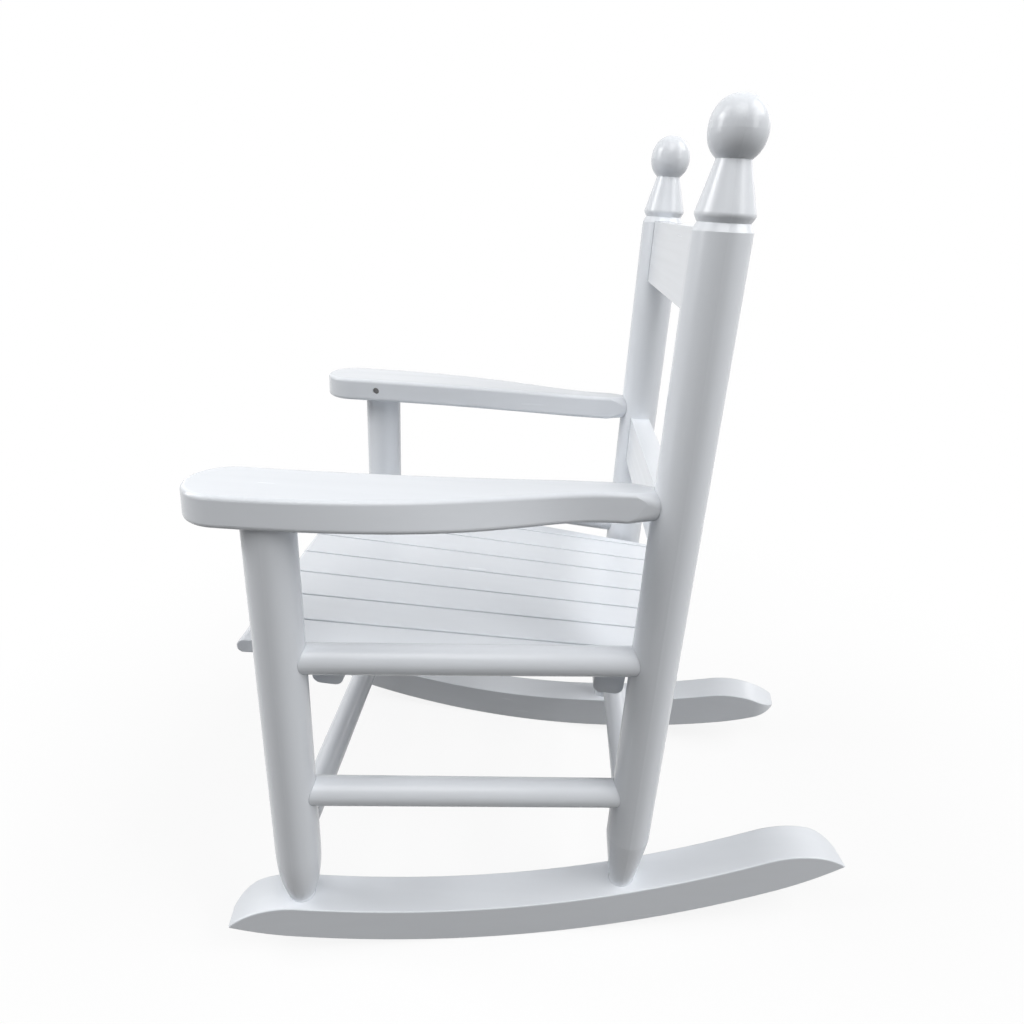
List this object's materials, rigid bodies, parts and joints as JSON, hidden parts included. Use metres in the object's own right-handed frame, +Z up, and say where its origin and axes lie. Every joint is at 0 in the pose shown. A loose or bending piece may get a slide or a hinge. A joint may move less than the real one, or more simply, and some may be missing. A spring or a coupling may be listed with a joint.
{
  "type": "child rocking chair",
  "caption": "Child-size wooden rocking chair with turned posts and finials, a slatted seat, paddle arms, straight back boards and curved rockers.",
  "frame": {"origin": "on the floor under the middle of the chair's outline seen from above, with the chair at rest on its rockers", "axes": "+Z up, the chair faces -Y and leans back to +Y, +X is the sitter's left"},
  "size_m": [0.3434, 0.4662, 0.5706],
  "materials": {
    "painted_wood": "satin white paint over smooth hardwood",
    "screw_steel": "dull zinc plated steel"
  },
  "bodies": {
    "root": {"arm_left": "painted_wood", "arm_right": "painted_wood", "arm_screws": "screw_steel", "crest_rail": "painted_wood", "front_post_left": "painted_wood", "front_post_right": "painted_wood", "front_seat_bearer": "painted_wood", "front_seat_rail": "painted_wood", "front_stretcher": "painted_wood", "lower_back_rail": "painted_wood", "rear_post_left": "painted_wood", "rear_post_right": "painted_wood", "rear_seat_bearer": "painted_wood", "rear_seat_rail": "painted_wood", "rear_stretcher": "painted_wood", "rocker_left": "painted_wood", "rocker_right": "painted_wood", "seat_rail_screws": "screw_steel", "seat_slat_1": "painted_wood", "seat_slat_2": "painted_wood", "seat_slat_3": "painted_wood", "seat_slat_4": "painted_wood", "seat_slat_5": "painted_wood", "seat_slat_6": "painted_wood", "seat_slat_7": "painted_wood", "seat_slat_8": "painted_wood", "side_seat_rail_left": "painted_wood", "side_seat_rail_right": "painted_wood", "side_stretcher_left": "painted_wood", "side_stretcher_right": "painted_wood", "slat_screws": "screw_steel"}
  },
  "joints": []
}
